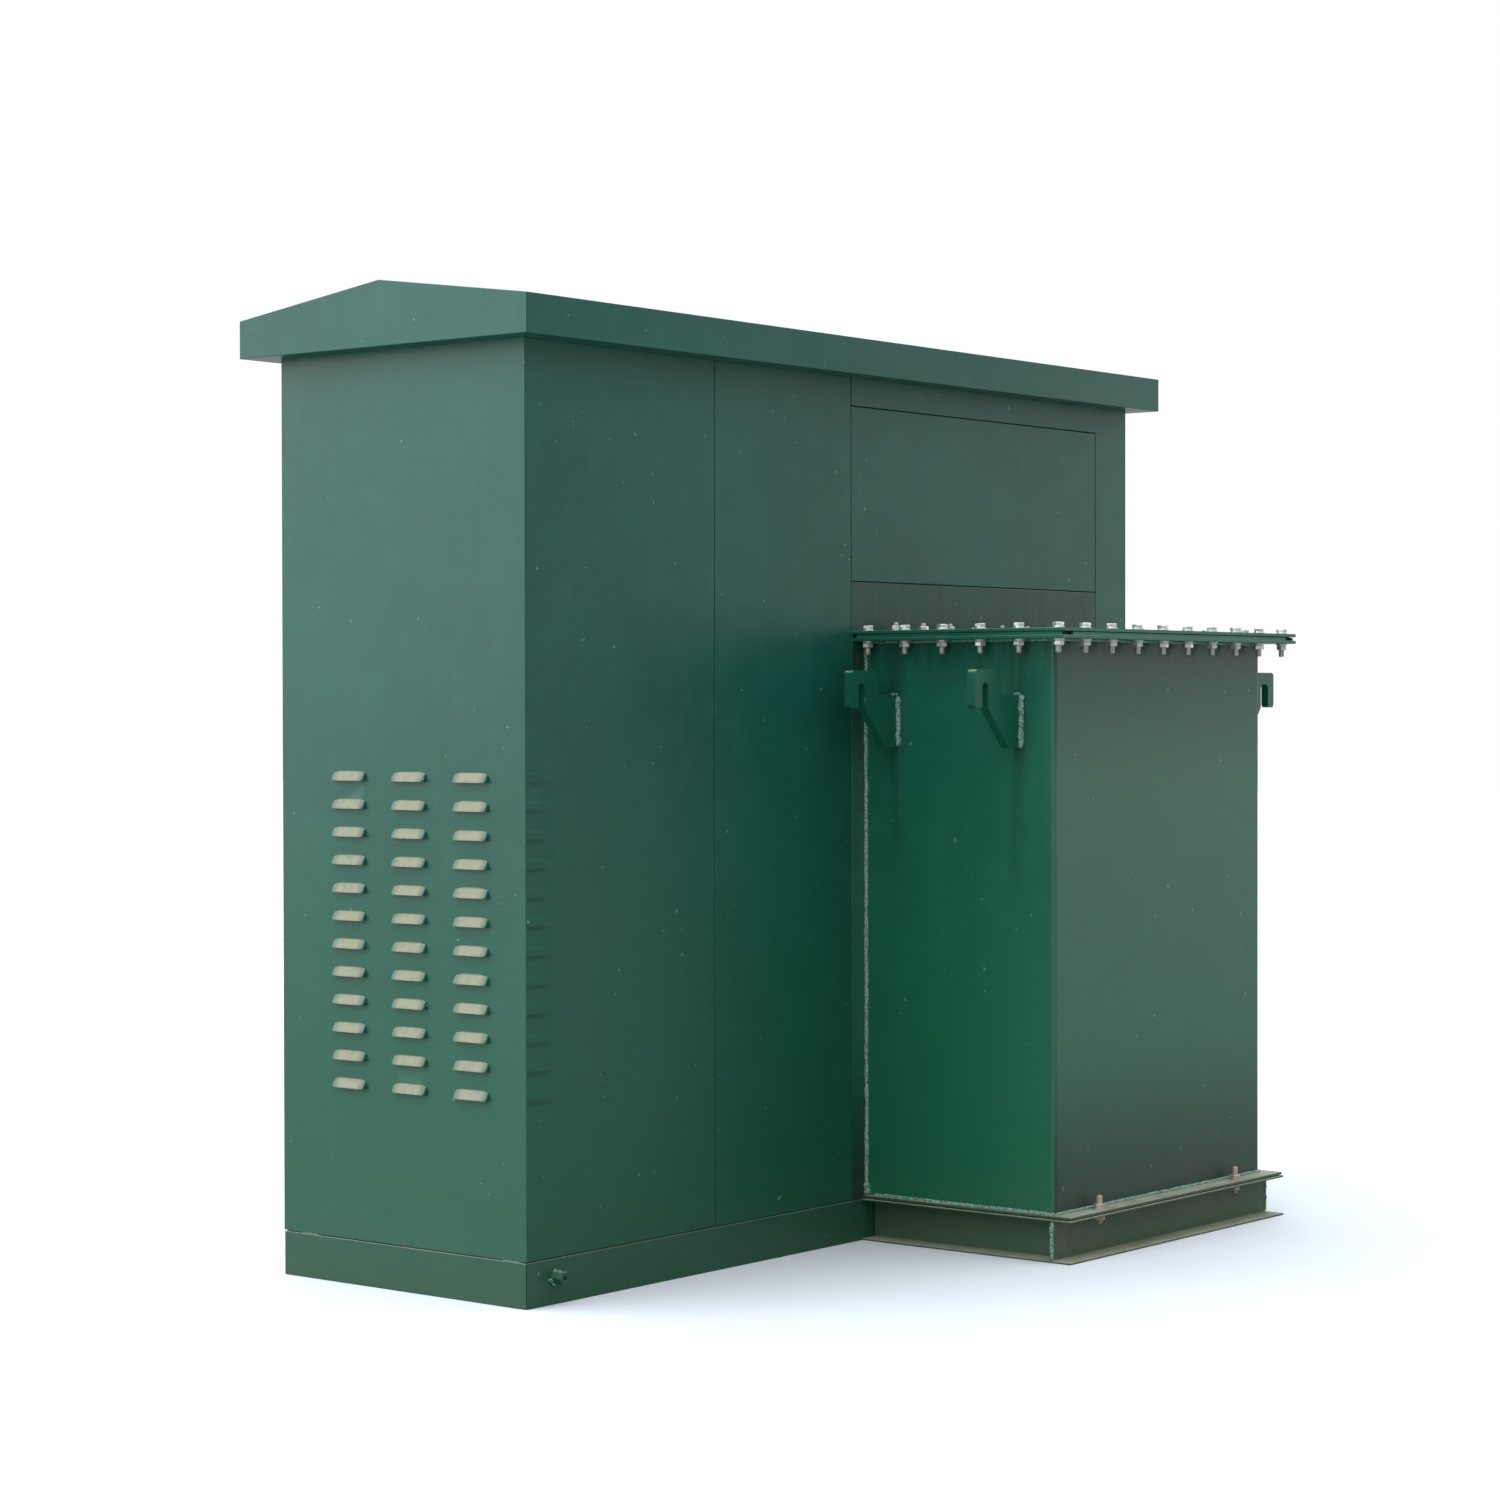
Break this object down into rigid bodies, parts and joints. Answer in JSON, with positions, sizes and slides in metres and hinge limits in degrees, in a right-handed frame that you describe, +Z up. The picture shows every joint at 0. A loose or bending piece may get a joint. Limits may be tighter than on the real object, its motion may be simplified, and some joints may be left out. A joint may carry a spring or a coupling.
{
  "type": "pad-mounted transformer",
  "caption": "Outdoor distribution transformer: bolted oil tank behind a long green terminal and switchgear cabinet with a gable roof, louvred end wall, hinged doors and lifting hooks.",
  "frame": {"origin": "on the ground, under the middle of the outline of roof and tank cover", "axes": "+Z up, X along the cabinet with the louvred end wall at +X, doors at -Y, oil tank at +Y"},
  "size_m": [2.022, 1.14, 1.792],
  "materials": {
    "green_paint": "satin powder coat, lightly dusty",
    "tank_paint": "satin enamel over welded plate",
    "galvanised": "zinc coated sheet",
    "zinc": "bright zinc plated",
    "black_lever": "matt black",
    "gasket_rubber": "oil resistant rubber",
    "core_steel": "laminated silicon steel",
    "copper": "bare and enamelled copper",
    "epoxy": "red-brown cast resin",
    "black_moulding": "moulded insulation",
    "red_handle": "red",
    "gauge_metal": "satin",
    "brass_fitting": "plain brass"
  },
  "bodies": {
    "housing": {"cabinet_base_frame": "green_paint", "cabinet_frame": "galvanised", "end_wall_louvred": "green_paint", "end_wall_plain": "green_paint", "rear_panel_outer": "green_paint", "rear_panel_inner": "green_paint", "rear_hatch": "green_paint", "rear_surround": "green_paint", "roof_shell": "green_paint", "front_frame": "green_paint", "compartment_barriers": "galvanised", "hinge_pintles": "green_paint", "tank_body": "tank_paint", "tank_front_plate": "tank_paint", "tank_bottom_plate": "tank_paint", "tank_foot": "tank_paint", "tank_rim": "tank_paint", "cover_gasket": "gasket_rubber", "tank_cover": "tank_paint", "cover_bolts": "zinc", "cover_nuts": "zinc", "foot_studs": "zinc", "lifting_hooks": "tank_paint", "earth_boss": "green_paint", "core": "core_steel", "lv_windings": "copper", "hv_windings": "copper", "hv_bushings": "epoxy", "lv_bushings": "epoxy", "fuse_wells": "epoxy", "thermometer": "gauge_metal", "oil_level_gauge": "gauge_metal", "relief_valve": "brass_fitting", "drain_valve": "brass_fitting", "breaker_panel": "galvanised", "main_breaker": "black_moulding", "feeder_breakers": "black_moulding", "busbars": "copper"},
    "hv_door": {"hv_door": "green_paint"},
    "lv_door": {"lv_door": "green_paint"},
    "room_door_left": {"room_door_left": "green_paint"},
    "room_door_right": {"room_door_right": "green_paint"},
    "lv_lock_handle": {"lv_lock_handle": "black_lever"},
    "room_lock_handle": {"room_lock_handle": "black_lever"},
    "lv_lock_rod_upper": {"lv_lock_rod_upper": "zinc"},
    "lv_lock_rod_lower": {"lv_lock_rod_lower": "zinc"},
    "room_lock_rod_upper": {"room_lock_rod_upper": "zinc"},
    "room_lock_rod_lower": {"room_lock_rod_lower": "zinc"},
    "fuse_holder_a": {"fuse_holder_a": "black_moulding"},
    "fuse_holder_b": {"fuse_holder_b": "black_moulding"},
    "fuse_holder_c": {"fuse_holder_c": "black_moulding"},
    "load_switch_handle": {"load_switch_handle": "red_handle"},
    "tap_changer_knob": {"tap_changer_knob": "red_handle"},
    "thermometer_pointer": {"thermometer_pointer": "red_handle"},
    "relief_pull": {"relief_pull": "zinc"},
    "drain_handwheel": {"drain_handwheel": "red_handle"},
    "main_toggle": {"main_toggle": "black_lever"},
    "feeder_toggle_1": {"feeder_toggle_1": "black_lever"},
    "feeder_toggle_2": {"feeder_toggle_2": "black_lever"},
    "feeder_toggle_3": {"feeder_toggle_3": "black_lever"}
  },
  "joints": [
    {"name": "hv_door_swing", "type": "hinge", "parent": "housing", "child": "hv_door", "pos_m": [-0.9185, -0.523, 0.875], "axis": [0, 0, -1], "range_deg": [0, 110]},
    {"name": "lv_door_swing", "type": "hinge", "parent": "housing", "child": "lv_door", "pos_m": [-0.0055, -0.523, 0.875], "axis": [0, 0, 1], "range_deg": [0, 90]},
    {"name": "room_door_left_swing", "type": "hinge", "parent": "housing", "child": "room_door_left", "pos_m": [0.0575, -0.523, 0.875], "axis": [0, 0, -1], "range_deg": [0, 90]},
    {"name": "room_door_right_swing", "type": "hinge", "parent": "housing", "child": "room_door_right", "pos_m": [0.9185, -0.523, 0.875], "axis": [0, 0, 1], "range_deg": [0, 110]},
    {"name": "lv_lock_turn", "type": "hinge", "parent": "lv_door", "child": "lv_lock_handle", "pos_m": [-0.415, -0.514, 0.9], "axis": [0, -1, 0], "range_deg": [0, 90]},
    {"name": "lv_lock_rod_upper_slide", "type": "slide", "parent": "lv_door", "child": "lv_lock_rod_upper", "axis": [0, 0, 1], "range_m": [0, 0.025]},
    {"name": "lv_lock_rod_lower_slide", "type": "slide", "parent": "lv_door", "child": "lv_lock_rod_lower", "axis": [0, 0, -1], "range_m": [0, 0.025]},
    {"name": "room_lock_turn", "type": "hinge", "parent": "room_door_right", "child": "room_lock_handle", "pos_m": [0.535, -0.514, 0.9], "axis": [0, -1, 0], "range_deg": [0, 90]},
    {"name": "room_lock_rod_upper_slide", "type": "slide", "parent": "room_door_right", "child": "room_lock_rod_upper", "axis": [0, 0, 1], "range_m": [0, 0.025]},
    {"name": "room_lock_rod_lower_slide", "type": "slide", "parent": "room_door_right", "child": "room_lock_rod_lower", "axis": [0, 0, -1], "range_m": [0, 0.025]},
    {"name": "load_switch_turn", "type": "hinge", "parent": "housing", "child": "load_switch_handle", "pos_m": [-0.68, 0.035, 0.84], "axis": [0, -1, 0], "range_deg": [0, 90]},
    {"name": "tap_changer_turn", "type": "hinge", "parent": "housing", "child": "tap_changer_knob", "pos_m": [-0.53, 0.035, 0.84], "axis": [0, -1, 0], "range_deg": [-72, 72]},
    {"name": "thermometer_needle", "type": "hinge", "parent": "housing", "child": "thermometer_pointer", "pos_m": [-0.11, 0.028, 1.06], "axis": [0, -1, 0], "range_deg": [-120, 120]},
    {"name": "relief_pull_out", "type": "slide", "parent": "housing", "child": "relief_pull", "axis": [0, -1, 0], "range_m": [0, 0.008], "stiffness_N_per_m": 1500},
    {"name": "drain_valve_turn", "type": "hinge", "parent": "housing", "child": "drain_handwheel", "pos_m": [-0.11, 0.035, 0.227], "axis": [0, 0, 1], "range_deg": [0, 720]},
    {"name": "main_toggle_throw", "type": "hinge", "parent": "housing", "child": "main_toggle", "pos_m": [0.44, -0.09, 0.65], "axis": [1, 0, 0], "range_deg": [-25, 25]},
    {"name": "feeder_toggle_1_throw", "type": "hinge", "parent": "housing", "child": "feeder_toggle_1", "pos_m": [0.3, -0.04, 0.2925], "axis": [1, 0, 0], "range_deg": [-25, 25]},
    {"name": "feeder_toggle_2_throw", "type": "hinge", "parent": "housing", "child": "feeder_toggle_2", "pos_m": [0.44, -0.04, 0.2925], "axis": [1, 0, 0], "range_deg": [-25, 25]},
    {"name": "feeder_toggle_3_throw", "type": "hinge", "parent": "housing", "child": "feeder_toggle_3", "pos_m": [0.58, -0.04, 0.2925], "axis": [1, 0, 0], "range_deg": [-25, 25]},
    {"name": "fuse_a_pull", "type": "slide", "parent": "housing", "child": "fuse_holder_a", "axis": [0, -1, 0], "range_m": [0, 0.22]},
    {"name": "fuse_b_pull", "type": "slide", "parent": "housing", "child": "fuse_holder_b", "axis": [0, -1, 0], "range_m": [0, 0.22]},
    {"name": "fuse_c_pull", "type": "slide", "parent": "housing", "child": "fuse_holder_c", "axis": [0, -1, 0], "range_m": [0, 0.22]}
  ],
  "couplings": [
    {"joint": "lv_lock_rod_upper_slide", "follows": "lv_lock_turn", "m_per_rad": 0.0159},
    {"joint": "lv_lock_rod_lower_slide", "follows": "lv_lock_turn", "m_per_rad": 0.0159},
    {"joint": "room_lock_rod_upper_slide", "follows": "room_lock_turn", "m_per_rad": 0.0159},
    {"joint": "room_lock_rod_lower_slide", "follows": "room_lock_turn", "m_per_rad": 0.0159}
  ]
}
